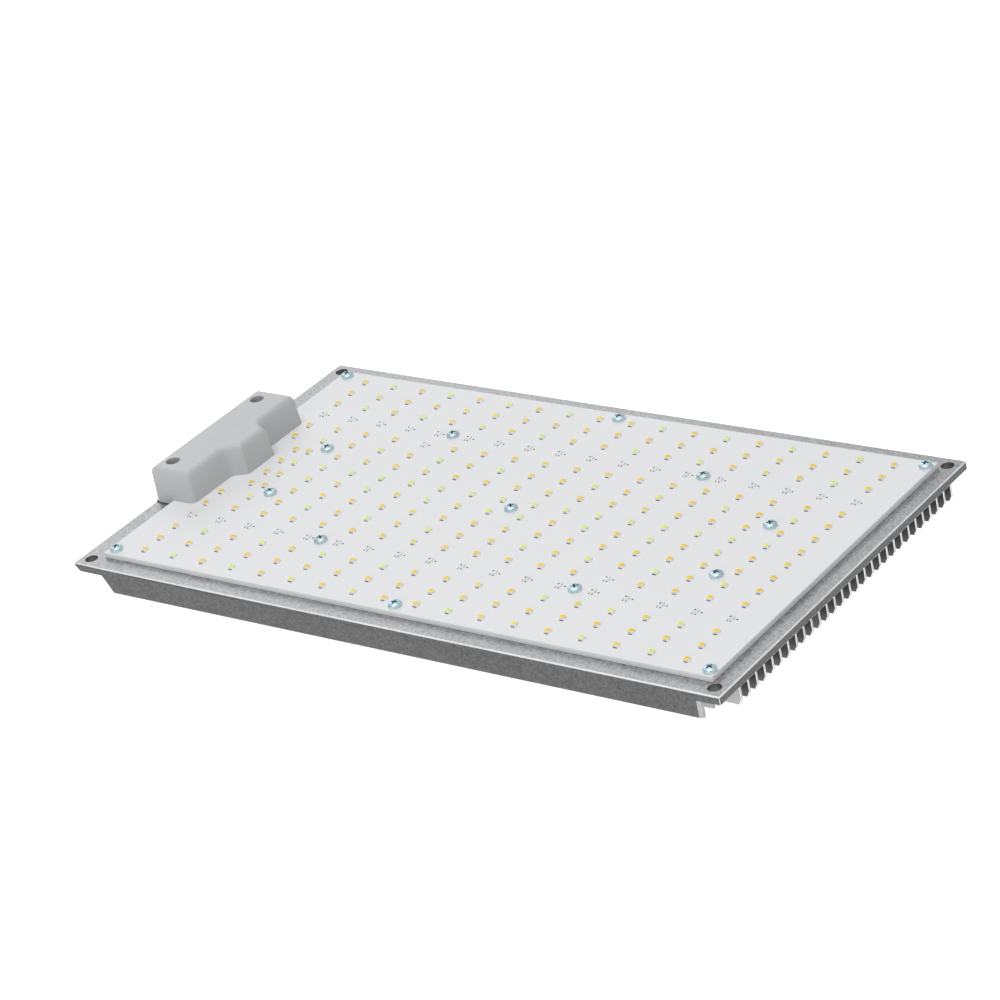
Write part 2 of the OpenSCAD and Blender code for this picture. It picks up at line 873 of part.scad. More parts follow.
heatsink();
thermal_pad();
led_board();
warm_leds();
cool_leds();
clear_leds();
board_screws();
terminal_block();
terminal_clamps();
terminal_screws();
wire_cover();
cover_gasket();
cover_screws();
cable_grommet();
output_cable();
positive_lead();
negative_lead();
driver_case();
output_end_cap();
mains_end_cap();
output_cap_gasket();
mains_cap_gasket();
end_cap_screws();
driver_brackets();
bracket_screws();
bracket_nuts();
driver_screws();
driver_circuit_board();
insulating_sheet();
transformer_core();
transformer_winding();
electrolytic_capacitors();
mains_choke();
film_capacitor();
fuse();
power_transistors();
heat_spreader();
output_gland();
output_gland_nut();
mains_gland();
mains_gland_nut();
mains_terminal();
output_leads();
dimmer_leads();
dimmer_potentiometer();
dimmer_nut();
dimmer_shaft();
dimmer_knob();
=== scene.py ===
import json
import math
import random

import bmesh
import bpy
from mathutils import Matrix, Quaternion, Vector


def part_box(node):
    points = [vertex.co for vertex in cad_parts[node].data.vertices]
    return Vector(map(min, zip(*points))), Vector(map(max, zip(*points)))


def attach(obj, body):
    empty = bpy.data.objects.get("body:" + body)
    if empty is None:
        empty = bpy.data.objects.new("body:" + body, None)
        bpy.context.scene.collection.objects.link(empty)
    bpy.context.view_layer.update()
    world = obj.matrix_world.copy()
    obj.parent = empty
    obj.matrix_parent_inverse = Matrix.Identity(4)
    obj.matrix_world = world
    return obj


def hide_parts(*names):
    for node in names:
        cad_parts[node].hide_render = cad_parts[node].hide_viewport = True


# Looks for the LED grow light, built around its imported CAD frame. Metres, +Z up, LEDs up.

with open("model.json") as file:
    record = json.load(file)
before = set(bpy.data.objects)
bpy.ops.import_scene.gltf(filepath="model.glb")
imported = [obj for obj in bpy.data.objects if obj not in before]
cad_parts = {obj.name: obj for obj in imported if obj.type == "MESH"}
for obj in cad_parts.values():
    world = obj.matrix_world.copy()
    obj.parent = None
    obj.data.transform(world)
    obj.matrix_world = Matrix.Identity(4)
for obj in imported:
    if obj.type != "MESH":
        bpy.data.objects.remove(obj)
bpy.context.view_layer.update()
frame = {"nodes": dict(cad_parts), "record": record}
MM = 0.001
SLOT_OF = {s["node"]: s["material_slot"] for s in frame["record"]["subparts"]}
BODY_OF = {n: b for b, ns in frame["record"]["behaviour"]["bodies"].items() for n in ns}
rng = random.Random(7)

# --- Camera, lights and floor ---

CAMERA_AT = Vector((0.7861, -0.8820, 0.6662))
CAMERA_FACING = Vector((-0.59196, 0.66169, -0.46016))
CAMERA_ROLL = math.radians(-12.354)
CAMERA_LENS = 127.44
LIGHTS_AIM = Vector((0, 0, 0.04))


def make_camera():
    data = bpy.data.cameras.new("camera")
    data.lens = CAMERA_LENS
    data.sensor_width = 36
    camera = bpy.data.objects.new("camera", data)
    bpy.context.scene.collection.objects.link(camera)
    camera.location = CAMERA_AT
    level = CAMERA_FACING.to_track_quat("-Z", "Y")
    camera.rotation_euler = (level @ Quaternion((0, 0, 1), CAMERA_ROLL)).to_euler()
    bpy.context.scene.camera = camera


def make_area(name, at, size, watts):
    data = bpy.data.lights.new(name, "AREA")
    data.shape = "ELLIPSE"
    data.size, data.size_y = size
    data.energy = watts
    light = bpy.data.objects.new(name, data)
    bpy.context.scene.collection.objects.link(light)
    light.location = at
    light.rotation_euler = (LIGHTS_AIM - Vector(at)).to_track_quat("-Z", "Y").to_euler()


def make_world(color, strength):
    world = bpy.data.worlds.new("studio")
    world.use_nodes = True
    background = world.node_tree.nodes["Background"]
    background.inputs["Color"].default_value = (*color, 1)
    background.inputs["Strength"].default_value = strength
    bpy.context.scene.world = world


make_camera()
make_world((0.96, 0.98, 1.0), 0.36)
make_area("overhead", (0.1, -0.3, 2.2), (1.8, 1.8), 27)
make_area("back_left", (-1.79, 1.45, 1.35), (2.0, 1.7), 12)
make_area("front", (0.5, -2.3, 0.9), (1.6, 1.0), 8)
bpy.context.scene.view_settings.view_transform = "Standard"

# --- Material helpers ---


# The Mix node's colour sockets, which share their names with its other sockets
MIX_A, MIX_B, MIX_RESULT = 6, 7, 2
BLOTCH_SCALE = 25


class Look:
    """A Principled material whose noise, ramps and bump all use object coordinates."""

    def __init__(self, name, color, roughness, metallic=0.0, **sockets):
        self.mat = bpy.data.materials.new(name)
        self.mat.use_nodes = True
        self.tree = self.mat.node_tree
        self.shader = self.tree.nodes["Principled BSDF"]
        self.place = self.tree.nodes.new("ShaderNodeTexCoord").outputs["Object"]
        self.shader.inputs["Base Color"].default_value = (*color, 1)
        self.shader.inputs["Roughness"].default_value = roughness
        self.shader.inputs["Metallic"].default_value = metallic
        for socket, value in sockets.items():
            self.shader.inputs[socket.replace("_", " ")].default_value = value

    def stretched(self, scale):
        node = self.tree.nodes.new("ShaderNodeMapping")
        node.inputs["Scale"].default_value = scale
        self.tree.links.new(self.place, node.inputs["Vector"])
        return node.outputs["Vector"]

    def noise(self, scale, detail=3, roughness=0.55, at=None, distortion=0.0):
        node = self.tree.nodes.new("ShaderNodeTexNoise")
        node.inputs["Scale"].default_value = scale
        node.inputs["Detail"].default_value = detail
        node.inputs["Roughness"].default_value = roughness
        node.inputs["Distortion"].default_value = distortion
        self.tree.links.new(at or self.place, node.inputs["Vector"])
        return node.outputs["Fac"]

    def cells(self, scale):
        node = self.tree.nodes.new("ShaderNodeTexVoronoi")
        node.feature = "SMOOTH_F1"
        node.inputs["Scale"].default_value = scale
        self.tree.links.new(self.place, node.inputs["Vector"])
        return node.outputs["Distance"]

    def bands(self, scale, axis):
        node = self.tree.nodes.new("ShaderNodeTexWave")
        node.bands_direction = axis
        node.inputs["Scale"].default_value = scale
        self.tree.links.new(self.place, node.inputs["Vector"])
        return node.outputs["Fac"]

    def ramp(self, value, stops):
        """value between stops, each a position and a grey or a colour."""
        node = self.tree.nodes.new("ShaderNodeValToRGB")
        marks = node.color_ramp.elements
        while len(marks) < len(stops):
            marks.new(0.5)
        for mark, (position, tone) in zip(marks, stops):
            mark.position = position
            mark.color = (*tone, 1) if isinstance(tone, tuple) else (tone, tone, tone, 1)
        self.tree.links.new(value, node.inputs["Fac"])
        return node.outputs["Color"]

    def mixed(self, a, b, share):
        """Product of two colours, blended in by share."""
        node = self.tree.nodes.new("ShaderNodeMix")
        node.data_type = "RGBA"
        node.blend_type = "MULTIPLY"
        node.inputs["Factor"].default_value = share
        self.tree.links.new(a, node.inputs[MIX_A])
        self.tree.links.new(b, node.inputs[MIX_B])
        return node.outputs[MIX_RESULT]

    def paint(self, color):
        self.tree.links.new(color, self.shader.inputs["Base Color"])
        return self

    def gloss(self, value):
        self.tree.links.new(value, self.shader.inputs["Roughness"])
        return self

    def bump(self, *layers):
        """Each layer is a height, its strength and its depth in millimetres."""
        normal = None
        for height, strength, depth in layers:
            node = self.tree.nodes.new("ShaderNodeBump")
            node.inputs["Strength"].default_value = strength
            node.inputs["Distance"].default_value = depth * MM
            self.tree.links.new(height, node.inputs["Height"])
            if normal:
                self.tree.links.new(normal, node.inputs["Normal"])
            normal = node.outputs["Normal"]
        self.tree.links.new(normal, self.shader.inputs["Normal"])
        return self


def shades(color, low, high, at=(0.3, 0.7)):
    """Two stops of one colour, scaled darker and lighter."""
    return [(at[0], tuple(c * low for c in color)), (at[1], tuple(min(1, c * high) for c in color))]


def plain(name, color, roughness, metallic=0.0, spread=(0.9, 1.08), grain=900, depth=0.02,
          **sockets):
    """A surface with a fine grain in its bump, and soft blotches in its colour and gloss."""
    look = Look(name, color, roughness, metallic, **sockets)
    patches = look.noise(BLOTCH_SCALE, 4)
    fine = look.noise(grain, 2)
    look.paint(look.ramp(patches, shades(color, *spread)))
    look.gloss(look.ramp(fine, [(0.3, max(0.03, roughness - 0.07)), (0.7, min(1, roughness + 0.07))]))
    return look.bump((fine, 0.5, depth))


# --- Materials ---


def hammered(name, color, roughness):
    """Mill aluminium with a fine hammered speckle."""
    look = Look(name, color, roughness, 0.8)
    worms = look.noise(1000, 2, 0.5, distortion=0.8)
    grains = look.noise(2100, 1, 0.6)
    blotches = look.noise(28, 3)
    speckle = look.mixed(look.ramp(worms, shades(color, 0.7, 1.3, at=(0.34, 0.66))),
                         look.ramp(grains, [(0.3, 0.86), (0.62, 1.0)]), 0.8)
    look.paint(look.mixed(speckle, look.ramp(blotches, [(0.3, 0.9), (0.7, 1.0)]), 0.9))
    look.gloss(look.ramp(worms, [(0.3, roughness - 0.08), (0.7, roughness + 0.1)]))
    return look.bump((worms, 0.45, 0.05), (grains, 0.3, 0.02))


def board_mask():
    """White solder mask over copper: nearly even, with faint soft tracks."""
    look = Look("board_white", (0.76, 0.76, 0.77), 0.55, 0.0, Specular_IOR_Level=0.35)
    soft = look.noise(9, 3)
    fine = look.noise(1800, 2)
    look.paint(look.ramp(soft, [(0.3, (0.785, 0.787, 0.793)), (0.7, (0.800, 0.802, 0.807))]))
    look.gloss(look.ramp(fine, [(0.3, 0.50), (0.7, 0.60)]))
    return look.bump((fine, 0.35, 0.01))


def phosphor(name, deep, light):
    """Phosphor fill of an LED, deeper in its middle."""
    look = Look(name, deep, 0.35, 0.0, Subsurface_Weight=0.15, Subsurface_Radius=(0.0006, 0.0004, 0.0001))
    grains = look.noise(4200, 2)
    drift = look.noise(60, 1)
    look.paint(look.mixed(look.ramp(drift, [(0.35, deep), (0.65, light)]),
                          look.ramp(grains, [(0.3, 0.93), (0.7, 1.0)]), 1.0))
    return look.bump((grains, 0.3, 0.01))


def zinc(name, color, roughness, metallic=0.9):
    """Passivated zinc, with a fine grain and duller patches."""
    look = Look(name, color, roughness, metallic)
    patches = look.noise(380, 3)
    fine = look.noise(2600, 2)
    look.paint(look.ramp(patches, shades(color, 0.82, 1.12)))
    look.gloss(look.ramp(patches, [(0.3, roughness - 0.08), (0.7, roughness + 0.1)]))
    return look.bump((fine, 0.3, 0.01))


def extruded(name, color, roughness):
    """Extruded aluminium, with die lines along X."""
    look = Look(name, color, roughness, 0.85)
    lines = look.noise(900, 3, 0.6, look.stretched((0.01, 1, 1)))
    blotches = look.noise(16, 4)
    look.paint(look.mixed(look.ramp(lines, shades(color, 0.88, 1.1)),
                          look.ramp(blotches, [(0.3, 0.9), (0.7, 1.0)]), 0.8))
    look.gloss(look.ramp(lines, [(0.3, roughness - 0.06), (0.7, roughness + 0.1)]))
    return look.bump((lines, 0.35, 0.02))


def powder_coat(name, color):
    """Fine textured powder coat."""
    look = Look(name, color, 0.55)
    pebbles = look.cells(1500)
    look.paint(look.ramp(look.noise(30, 4), shades(color, 0.88, 1.12)))
    look.gloss(look.ramp(pebbles, [(0.2, 0.48), (0.8, 0.64)]))
    return look.bump((pebbles, 0.6, 0.04))


def wound(name, color, scale, axis):
    """Enamelled wire, turn beside turn along one axis."""
    look = Look(name, color, 0.3, 0.9)
    turns = look.bands(scale, axis)
    look.paint(look.ramp(turns, shades(color, 0.45, 1.15)))
    return look.bump((turns, 0.9, 0.2))


LOOKS = {
    "plate_aluminium": hammered("plate_aluminium", (0.44, 0.442, 0.446), 0.42),
    # The plate's upright faces and hole walls: a dark copy of the plate's aluminium, painted shade
    "plate_side_painted_shade": hammered("plate_side_painted_shade", (0.155, 0.155, 0.157), 0.5),
    # The heatsink's bevel strips: near-white, a painted highlight along the edges
    "plate_edge_painted_highlight": plain("plate_edge_painted_highlight", (0.95, 0.95, 0.955), 0.4, 0.3, grain=2000),
    # Sawn fin ends, and the outermost fins' outer flanks in this lighter copy as painted light
    "plate_cut_and_painted_light": plain("plate_cut_and_painted_light", (0.50, 0.50, 0.505), 0.45, 0.4, grain=1600, depth=0.03),
    # The fin flanks between the fins: a dark copy of the aluminium, painted shade
    "fin_side_painted_shade": extruded("fin_side_painted_shade", (0.14, 0.14, 0.142), 0.5),
    "pad_grey": plain("pad_grey", (0.82, 0.82, 0.82), 0.75, grain=1400, depth=0.03),
    "board_white": board_mask(),
    # The board's sides: lighter than its top, painted light
    "board_edge_painted_light": plain("board_edge_painted_light", (0.90, 0.90, 0.90), 0.6, spread=(0.97, 1.02), grain=1400, depth=0.02),
    "led_body": plain("led_body", (0.88, 0.88, 0.88), 0.5, spread=(0.98, 1.02), grain=3000, depth=0.01),
    "led_warm": phosphor("led_warm", (0.97, 0.65, 0.05), (0.97, 0.73, 0.07)),
    "warm_core": phosphor("warm_core", (0.94, 0.56, 0.015), (0.90, 0.66, 0.03)),
    "led_cool": phosphor("led_cool", (0.86, 0.84, 0.22), (0.86, 0.88, 0.30)),
    "cool_core": phosphor("cool_core", (0.80, 0.78, 0.09), (0.82, 0.84, 0.16)),
    "led_clear": plain("led_clear", (0.76, 0.76, 0.755), 0.35, grain=3000, depth=0.005, Coat_Weight=0.1),
    "solder": plain("solder", (0.075, 0.055, 0.068), 0.45, 0.2, grain=2600),
    "die": plain("die", (0.04, 0.038, 0.045), 0.4, 0.0, grain=3000, depth=0.005),
    "screw_zinc": zinc("screw_zinc", (0.60, 0.76, 0.82), 0.42, 0.6),
    # The cross recess: a dark, dull colour as painted shade
    "screw_recess_painted_shade": zinc("screw_recess_painted_shade", (0.04, 0.16, 0.28), 0.5, 0.2),
    "plated_steel": zinc("plated_steel", (0.62, 0.64, 0.66), 0.3),
    "terminal_green": plain("terminal_green", (0.08, 0.30, 0.12), 0.45),
    "cover_grey": plain("cover_grey", (0.53, 0.537, 0.541), 0.5, spread=(0.97, 1.03), grain=1300,
                        depth=0.015, Coat_Weight=0.1, Coat_Roughness=0.35),
    "rubber_black": plain("rubber_black", (0.03, 0.03, 0.03), 0.7, spread=(0.8, 1.3)),
    "cable_black": plain("cable_black", (0.025, 0.025, 0.028), 0.5, spread=(0.8, 1.3), grain=1500),
    "lead_red": plain("lead_red", (0.55, 0.03, 0.02), 0.4),
    "lead_green": plain("lead_green", (0.05, 0.33, 0.08), 0.4),
    "case_aluminium": extruded("case_aluminium", (0.60, 0.61, 0.62), 0.38),
    "cap_grey": powder_coat("cap_grey", (0.045, 0.048, 0.052)),
    "board_green": plain("board_green", (0.02, 0.15, 0.06), 0.35, spread=(0.7, 1.2), Coat_Weight=0.3),
    "sheet_fishpaper": plain("sheet_fishpaper", (0.66, 0.60, 0.42), 0.8, grain=500),
    "ferrite": plain("ferrite", (0.05, 0.05, 0.055), 0.65, spread=(0.8, 1.3), grain=1400, depth=0.05),
    "copper": wound("copper", (0.75, 0.33, 0.12), 160, "Y"),
    "capacitor_sleeve": plain("capacitor_sleeve", (0.02, 0.03, 0.10), 0.25, grain=600),
    "capacitor_yellow": plain("capacitor_yellow", (0.72, 0.52, 0.06), 0.35),
    "fuse_ceramic": plain("fuse_ceramic", (0.80, 0.79, 0.74), 0.25, Coat_Weight=0.4),
    "package_black": plain("package_black", (0.025, 0.025, 0.025), 0.5, grain=1800, depth=0.03),
    "nylon_black": plain("nylon_black", (0.03, 0.03, 0.033), 0.42, spread=(0.85, 1.25), grain=1500),
    "knob_black": plain("knob_black", (0.025, 0.025, 0.028), 0.38, spread=(0.85, 1.25), grain=1200),
}


def mat(name):
    return LOOKS[name].mat


# --- Mesh helpers ---


def add_object(name, mesh):
    obj = bpy.data.objects.new(name, mesh)
    bpy.context.scene.collection.objects.link(obj)
    return obj


def smooth(mesh, degrees=35):
    mesh.polygons.foreach_set("use_smooth", [True] * len(mesh.polygons))
    mesh.set_sharp_from_angle(angle=math.radians(degrees))


def baked(obj):
    """Applies obj's modifiers to its mesh."""
    graph = bpy.context.evaluated_depsgraph_get()
    mesh = bpy.data.meshes.new_from_object(obj.evaluated_get(graph))
    obj.modifiers.clear()
    obj.data = mesh
    return obj


def from_bmesh(name, bm, materials):
    bmesh.ops.recalc_face_normals(bm, faces=bm.faces)
    mesh = bpy.data.meshes.new(name)
    bm.to_mesh(mesh)
    bm.free()
    for m in materials:
        mesh.materials.append(mat(m))
    smooth(mesh)
    return add_object(name, mesh)


def place(piece, node, *more):
    """The piece rides on the node's body, and stands for it and for any more nodes."""
    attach(piece, BODY_OF[node])
    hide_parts(node, *more)
    return piece


def cad_bmesh(node):
    bm = bmesh.new()
    bm.from_mesh(frame["nodes"][node].data)
    bmesh.ops.remove_doubles(bm, verts=bm.verts, dist=2e-6)
    return bm


def boxes(node):
    """Lowest and highest corners of each separate solid of a CAD node."""
    bm = cad_bmesh(node)
    left = set(bm.verts)
    found = []
    while left:
        stack = [left.pop()]
        island = list(stack)
        while stack:
            for edge in stack.pop().link_edges:
                for v in edge.verts:
                    if v in left:
                        left.remove(v)
                        stack.append(v)
                        island.append(v)
        low = Vector(min(v.co[a] for v in island) for a in range(3))
        high = Vector(max(v.co[a] for v in island) for a in range(3))
        found.append((low, high))
    bm.free()
    return sorted(found, key=lambda b: (round(b[0].x, 5), round(b[0].y, 5), b[0].z))


def rounded_rectangle(half_x, half_y, radius, steps=4):
    """Outline of a rectangle with round corners, counter-clockwise."""
    radius = min(radius, half_x, half_y)
    points = []
    for quarter, (sx, sy) in enumerate(((1, 1), (-1, 1), (-1, -1), (1, -1))):
        for s in range(steps + 1):
            turn = math.radians(90 * (quarter + s / steps))
            points.append((sx * (half_x - radius) + radius * math.cos(turn),
                           sy * (half_y - radius) + radius * math.sin(turn)))
    return points


def ring(bm, outline, at, z):
    return [bm.verts.new((at[0] + x, at[1] + y, z)) for x, y in outline]


def bridge(bm, lower, upper, material=0):
    count = len(lower)
    for k in range(count):
        face = bm.faces.new((lower[k], lower[(k + 1) % count], upper[(k + 1) % count], upper[k]))
        face.material_index = material


def cap(bm, loop, material=0):
    bm.faces.new(loop).material_index = material


def stack_up(bm, at, layers, steps=4):
    """A closed form of stacked round-cornered outlines: each layer is half x, half y, radius, z, material."""
    loops = [ring(bm, rounded_rectangle(hx, hy, r, steps), at, z) for hx, hy, r, z, _ in layers]
    cap(bm, loops[0][::-1], layers[0][4])
    for k in range(1, len(loops)):
        bridge(bm, loops[k - 1], loops[k], layers[k][4])
    cap(bm, loops[-1], layers[-1][4])


def lathe(bm, profile, sides, at=(0, 0, 0), material=0):
    """A closed form turned about Z from (radius, height) points; both ends reach the axis."""
    loops = []
    for radius, height in profile:
        turns = [2 * math.pi * k / sides for k in range(sides if radius > 0 else 1)]
        loops.append([bm.verts.new(Vector(at) + Vector((radius * math.cos(a), radius * math.sin(a), height)))
                      for a in turns])
    for lower, upper in zip(loops, loops[1:]):
        for k in range(sides):
            n = (k + 1) % sides
            quad = [loop[m % len(loop)] for loop, m in ((lower, k), (lower, n), (upper, n), (upper, k))]
            quad = [v for i, v in enumerate(quad) if v not in quad[:i]]
            bm.faces.new(quad).material_index = material


def boolean(obj, cutter, operation="DIFFERENCE"):
    """Cuts obj by cutter, which is then removed. Cut faces keep the cutter's materials."""
    cut = obj.modifiers.new("cut", "BOOLEAN")
    cut.object = cutter
    cut.operation = operation
    cut.solver = "EXACT"
    cut.material_mode = "TRANSFER"
    baked(obj)
    bpy.data.objects.remove(cutter)
    return obj


# --- CAD shapes with softened edges ---


def bevelled(piece, width, angle=None, edge_material=None):
    """Rounds the sharp edges by width millimetres, by angle or else by their weights; flats stay flat."""
    edges = piece.modifiers.new("edges", "BEVEL")
    edges.width = width * MM
    edges.segments = 2
    edges.use_clamp_overlap = False
    edges.limit_method = "WEIGHT" if angle is None else "ANGLE"
    if angle is not None:
        edges.angle_limit = math.radians(angle)
    if edge_material is not None:
        edges.material = edge_material
    even = piece.modifiers.new("even", "WEIGHTED_NORMAL")
    even.weight = 100
    even.keep_sharp = True
    return baked(piece)


def softened(node, width, side=None):
    """The CAD node's own shape, its sharp edges rounded by width millimetres; side is for upright faces."""
    bm = cad_bmesh(node)
    bmesh.ops.dissolve_limit(bm, angle_limit=math.radians(1.0), verts=bm.verts, edges=bm.edges)
    for face in bm.faces:
        face.material_index = 1 if side and abs(face.normal.z) < 0.5 else 0
    piece = from_bmesh(node + "_surface", bm, [SLOT_OF[node], *([side] if side else [])])
    return place(bevelled(piece, width, angle=32), node)


# --- Heatsink ---


PLATE_T = 3.3 * MM
# Distances from the middle between which the outermost full fins' outer flanks lie; these flanks take the
# lighter sawn-end colour as painted light
LIT_FIRST_FLANKS = (72.5 * MM, 79 * MM)
FIN_SLANT = 0.25
# Heatsink material slots: top; dark upright faces (painted shade); near-white bevel strips (painted
# highlight); sawn ends with the outermost flanks (painted light on those flanks); dark fin flanks (painted
# shade)
TOP, SHADED_SIDE, HIGHLIGHT_EDGE, CUT_AND_LIT, SHADED_FIN = range(5)
BOLD_EDGE, FIN_EDGE, FINE_EDGE = 1.0, 0.8, 0.4


def paint_heatsink(bm, high):
    """Hammered top; the plate's upright faces and hole walls, and the drawn fin flanks between the fins, in
    dark, duller copies of the aluminium as painted shade; sawn fin ends, and the outermost fins' outer flanks
    as painted light, in a lighter copy.
    """
    underside = high.z - PLATE_T
    bmesh.ops.bisect_plane(bm, geom=[*bm.verts, *bm.edges, *bm.faces], dist=1e-7,
                           plane_co=(0, 0, underside), plane_no=(0, 0, 1))
    for face in bm.faces:
        n, c = face.normal, face.calc_center_median()
        outer = max(abs(c.x) - high.x, abs(c.y) - high.y) > -0.05 * MM
        lit_first_flank = LIT_FIRST_FLANKS[0] < abs(c.y) < LIT_FIRST_FLANKS[1] and n.y * c.y > 0
        if n.z > 0.5 and c.z > high.z - 0.1 * MM:
            face.material_index = TOP
        # Sawn fin ends, and the outermost flanks as painted light, take the lighter copy
        elif c.z < underside and (abs(n.x) > FIN_SLANT or lit_first_flank):
            face.material_index = CUT_AND_LIT
        else:
            # Upright plate faces, hole walls and the flanks between fins take dark copies, painted shade
            face.material_index = SHADED_SIDE if outer or c.z > underside else SHADED_FIN


def weigh_heatsink_edges(bm, high):
    """Bevel weights, which set the width of the near-white painted highlight strips: bold along the plate's
    rim, fine at its upright corners, none in the holes.
    """
    weight = bm.edges.layers.float.new("bevel_weight_edge")

    def on_side(axis, sign, points):
        return all(sign * p[axis] > high[axis] - 0.01 * MM for p in points)

    for edge in bm.edges:
        ends = [v.co for v in edge.verts]
        if not edge.is_convex or edge.calc_face_angle() < math.radians(40):
            continue
        on_right_or_long_side = any(on_side(axis, sign, ends) for axis, sign in ((0, 1), (1, 1), (1, -1)))
        if all(p.z > high.z - 0.01 * MM for p in ends):
            edge[weight] = BOLD_EDGE if on_right_or_long_side else FINE_EDGE if on_side(0, -1, ends) else 0.0
        elif all(p.z < high.z - PLATE_T - 0.5 * MM for p in ends):
            edge[weight] = FIN_EDGE
        elif on_right_or_long_side:
            edge[weight] = FINE_EDGE


def heatsink():
    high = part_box("heatsink")[1]
    bm = cad_bmesh("heatsink")
    paint_heatsink(bm, high)
    bmesh.ops.dissolve_limit(bm, angle_limit=math.radians(1.0), verts=bm.verts, edges=bm.edges,
                             delimit={"MATERIAL"})
    weigh_heatsink_edges(bm, high)
    piece = from_bmesh("heatsink_surface", bm,
                       ["plate_aluminium", "plate_side_painted_shade", "plate_edge_painted_highlight", "plate_cut_and_painted_light", "fin_side_painted_shade"])
    # The bevel strips take the near-white edge colour, a painted highlight
    return place(bevelled(piece, 0.42, edge_material=HIGHLIGHT_EDGE), "heatsink")


heatsink()

# --- LED board ---

softened("thermal_pad", 0.15)
# The board's sides take a lighter colour than its top, painted light
softened("led_board", 0.15, "board_edge_painted_light")

# --- LEDs ---

LED_BODY, LED_FILL, LED_CORE, LED_SOLDER, LED_DIE = range(5)
# Solder dots round a clear package: x and y from its middle, and radius, in millimetres
CLEAR_DOTS = ((-0.6, -1.6, 0.3), (0.8, -1.6, 0.33), (2.6, 0.1, 0.4), (0.4, 1.6, 0.2))


def led(bm, low, high, clear):
    """One package on the board: a white body, a round-cornered window, and its solder."""
    at = (low + high) / 2
    hx, hy = (high.x - low.x) / 2, (high.y - low.y) / 2
    top = high.z
    stack_up(bm, at, [
        (hx, hy, 0.2 * MM, low.z, LED_BODY),
        (hx - 0.05 * MM, hy - 0.05 * MM, 0.4 * MM, low.z + 0.22 * MM, LED_BODY),
        (hx - 0.12 * MM, hy - 0.10 * MM, 0.6 * MM, top - 0.05 * MM, LED_BODY),
        (hx - 0.18 * MM, hy - 0.15 * MM, 0.6 * MM, top - 0.02 * MM, LED_BODY),
        (hx - 0.30 * MM, hy - 0.22 * MM, 0.8 * MM, top - 0.04 * MM, LED_FILL),
        (hx - 0.40 * MM, hy - 0.30 * MM, 0.8 * MM, top, LED_FILL),
        (hx - 0.68 * MM, hy - 0.56 * MM, 0.5 * MM, top - 0.01 * MM, LED_FILL),
        (hx - 0.70 * MM, hy - 0.58 * MM, 0.5 * MM, top, LED_CORE)])
    if clear:
        die(bm, at, top)
        for dx, dy, r in CLEAR_DOTS:
            solder_dot(bm, at.x + dx * MM, at.y + dy * MM, low.z, r * MM)
    else:
        solder_bar(bm, at.x + 0.4 * MM, low.y - 0.38 * MM, low.z)


def die(bm, at, top):
    """The dark chip that shows through a clear package."""
    stack_up(bm, (at.x - 0.15 * MM, at.y + 0.2 * MM), [
        (0.36 * MM, 0.36 * MM, 0.2 * MM, top - 0.12 * MM, LED_DIE),
        (0.34 * MM, 0.34 * MM, 0.2 * MM, top, LED_DIE)], 2)


def solder_bar(bm, x, y, z):
    """The solder fillet along a package's near end."""
    stack_up(bm, (x, y), [
        (0.95 * MM, 0.24 * MM, 0.2 * MM, z - 0.05 * MM, LED_SOLDER),
        (0.93 * MM, 0.22 * MM, 0.2 * MM, z + 0.04 * MM, LED_SOLDER),
        (0.75 * MM, 0.12 * MM, 0.1 * MM, z + 0.14 * MM, LED_SOLDER)], 2)


def solder_dot(bm, x, y, z, radius):
    profile = [(0, -0.05 * MM), (radius, -0.05 * MM), (radius, 0.03 * MM), (radius * 0.6, 0.14 * MM),
               (0, 0.17 * MM)]
    lathe(bm, profile, 10, (x, y, z), LED_SOLDER)


def leds(node, fill, core):
    bm = bmesh.new()
    for low, high in boxes(node):
        led(bm, low, high, node == "clear_leds")
    return place(from_bmesh(node + "_packages", bm, ["led_body", fill, core, "solder", "die"]), node)


leds("warm_leds", "led_warm", "warm_core")
leds("cool_leds", "led_cool", "cool_core")
leds("clear_leds", "led_clear", "led_clear")

# --- Screws ---


def recess_blade(head_r, head_h, depth, quarter):
    """The tapered cutter for one slot of a cross recess; the faces it cuts take its dark colour, painted
    shade in the recess.
    """
    bm = bmesh.new()
    upper = rounded_rectangle(head_r * 0.60, head_r * 0.15, head_r * 0.08, 2)
    foot = rounded_rectangle(head_r * 0.36, head_r * 0.11, head_r * 0.05, 2)
    if quarter:
        upper, foot = ([(-y, x) for x, y in outline] for outline in (upper, foot))
    loops = [ring(bm, foot, (0, 0), head_h - depth), ring(bm, upper, (0, 0), head_h + 0.3 * MM)]
    cap(bm, loops[0][::-1])
    bridge(bm, *loops)
    cap(bm, loops[1])
    return from_bmesh("cutter", bm, ["screw_recess_painted_shade"])


def screw_mesh(head_r, head_h, shank_r, length):
    """A pan head with a cross recess, its underside at z = 0, on a plain shank."""
    bm = bmesh.new()
    dome = [(head_r * math.cos(a), head_h * (0.42 + 0.58 * math.sin(a)))
            for a in (math.radians(d) for d in (0, 15, 30, 45, 60, 75))]
    profile = [(0, -length), (shank_r * 0.8, -length), (shank_r, -length + shank_r * 0.25), (shank_r, 0),
               (head_r - 0.12 * MM, 0), (head_r, 0.12 * MM), *dome, (0, head_h)]
    lathe(bm, profile, 40)
    screw = from_bmesh("screw", bm, ["screw_zinc"])
    for quarter in (False, True):
        boolean(screw, recess_blade(head_r, head_h, head_h * 0.7, quarter))
    mesh = screw.data
    bpy.data.objects.remove(screw)
    return mesh


